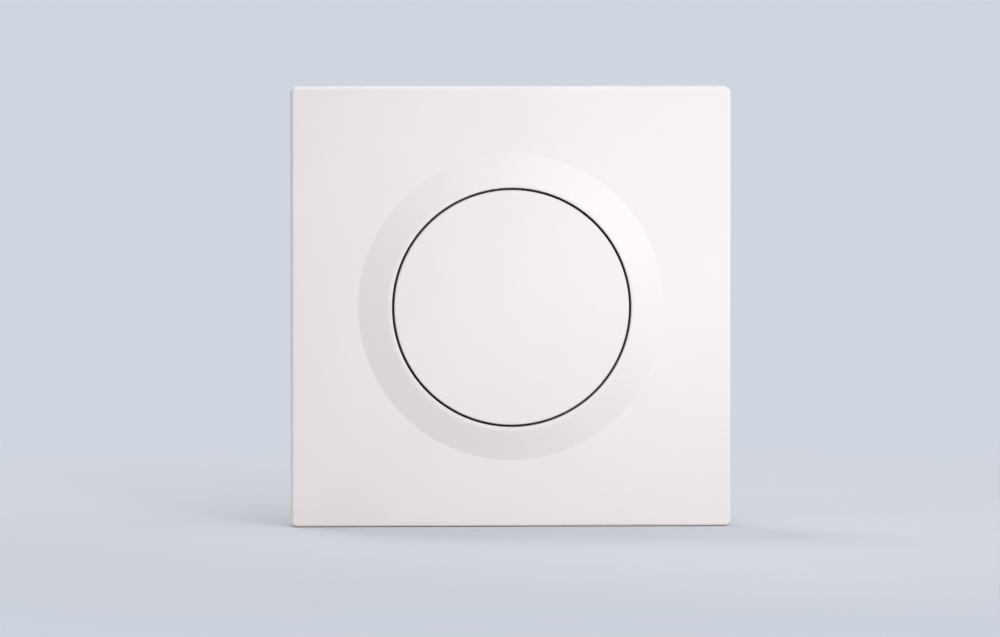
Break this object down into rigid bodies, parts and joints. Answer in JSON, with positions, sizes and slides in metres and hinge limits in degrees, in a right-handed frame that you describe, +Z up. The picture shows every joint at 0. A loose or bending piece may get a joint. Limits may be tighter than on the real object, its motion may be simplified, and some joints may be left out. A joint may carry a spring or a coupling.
{
  "type": "smart wall switch",
  "caption": "Square white wall switch with a round push button in a raised conical collar, and a boxed relay module with screw terminals behind it.",
  "frame": {"origin": "centre of the plate on the wall surface, midway between the two box screws", "axes": "+X to the right seen from the front, +Y into the wall, +Z up; the button faces -Y"},
  "size_m": [0.086, 0.037, 0.086],
  "materials": {
    "white_plastic": "fine matte moulded white",
    "black_plastic": "matte moulded black",
    "spring_steel": "drawn wire",
    "housing_plastic": "matte moulded pale grey",
    "screw_steel": "zinc plated",
    "circuit_board": "green solder mask",
    "plunger_plastic": "natural nylon",
    "radio_board": "blue solder mask",
    "shield_metal": "tinned sheet",
    "contact_brass": "stamped brass",
    "relay_plastic": "smooth moulded blue",
    "ferrite": "sintered dark grey",
    "winding_tape": "yellow film tape",
    "capacitor_sleeve": "shrink sleeve",
    "film_resin": "moulded yellow box",
    "varistor_resin": "dipped resin",
    "fuse_resin": "smooth brown",
    "terminal_plastic": "matte moulded charcoal",
    "clamp_steel": "nickel plated"
  },
  "bodies": {
    "base": {"front_cover": "white_plastic", "mounting_frame": "housing_plastic", "rear_housing": "housing_plastic", "housing_screws": "screw_steel", "control_board": "circuit_board", "board_screws": "screw_steel", "push_switch_body": "black_plastic", "radio_board": "radio_board", "radio_shield": "shield_metal", "header_base": "black_plastic", "header_pins": "contact_brass", "header_socket": "black_plastic", "power_board": "circuit_board", "relay": "relay_plastic", "transformer_core": "ferrite", "transformer_bobbin": "winding_tape", "bulk_capacitor_1": "capacitor_sleeve", "bulk_capacitor_2": "capacitor_sleeve", "film_capacitor": "film_resin", "varistor": "varistor_resin", "bridge_rectifier": "black_plastic", "choke": "ferrite", "fuse": "fuse_resin", "terminal_block": "terminal_plastic", "contact_bar_1": "contact_brass", "contact_bar_2": "contact_brass", "contact_bar_3": "contact_brass", "return_spring": "spring_steel"},
    "button": {"button_cap": "white_plastic", "button_carrier": "black_plastic"},
    "plunger": {"push_switch_plunger": "plunger_plastic"},
    "screw_1": {"terminal_screw_1": "screw_steel"},
    "screw_2": {"terminal_screw_2": "screw_steel"},
    "screw_3": {"terminal_screw_3": "screw_steel"},
    "cage_1": {"clamp_cage_1": "clamp_steel"},
    "cage_2": {"clamp_cage_2": "clamp_steel"},
    "cage_3": {"clamp_cage_3": "clamp_steel"}
  },
  "joints": [
    {"name": "button_press", "type": "slide", "parent": "base", "child": "button", "axis": [0, 1, 0], "range_m": [0, 0.0012], "stiffness_N_per_m": 1500, "springref_m": -0.0012, "deforming": ["return_spring"]},
    {"name": "plunger_press", "type": "slide", "parent": "base", "child": "plunger", "axis": [0, 1, 0], "range_m": [0, 0.0012]},
    {"name": "clamp_rise_1", "type": "slide", "parent": "base", "child": "cage_1", "axis": [0, 1, 0], "range_m": [0, 0.0025]},
    {"name": "clamp_rise_2", "type": "slide", "parent": "base", "child": "cage_2", "axis": [0, 1, 0], "range_m": [0, 0.0025]},
    {"name": "clamp_rise_3", "type": "slide", "parent": "base", "child": "cage_3", "axis": [0, 1, 0], "range_m": [0, 0.0025]},
    {"name": "terminal_turn_1", "type": "hinge", "parent": "base", "child": "screw_1", "pos_m": [-0.00762, 0.0218, -0.02155], "axis": [0, -1, 0], "range_deg": [0, 1800]},
    {"name": "terminal_turn_2", "type": "hinge", "parent": "base", "child": "screw_2", "pos_m": [0, 0.0218, -0.02155], "axis": [0, -1, 0], "range_deg": [0, 1800]},
    {"name": "terminal_turn_3", "type": "hinge", "parent": "base", "child": "screw_3", "pos_m": [0.00762, 0.0218, -0.02155], "axis": [0, -1, 0], "range_deg": [0, 1800]}
  ],
  "couplings": [
    {"joint": "plunger_press", "follows": "button_press", "ratio": 1},
    {"joint": "terminal_turn_1", "follows": "clamp_rise_1", "rad_per_m": 12566},
    {"joint": "terminal_turn_2", "follows": "clamp_rise_2", "rad_per_m": 12566},
    {"joint": "terminal_turn_3", "follows": "clamp_rise_3", "rad_per_m": 12566}
  ]
}
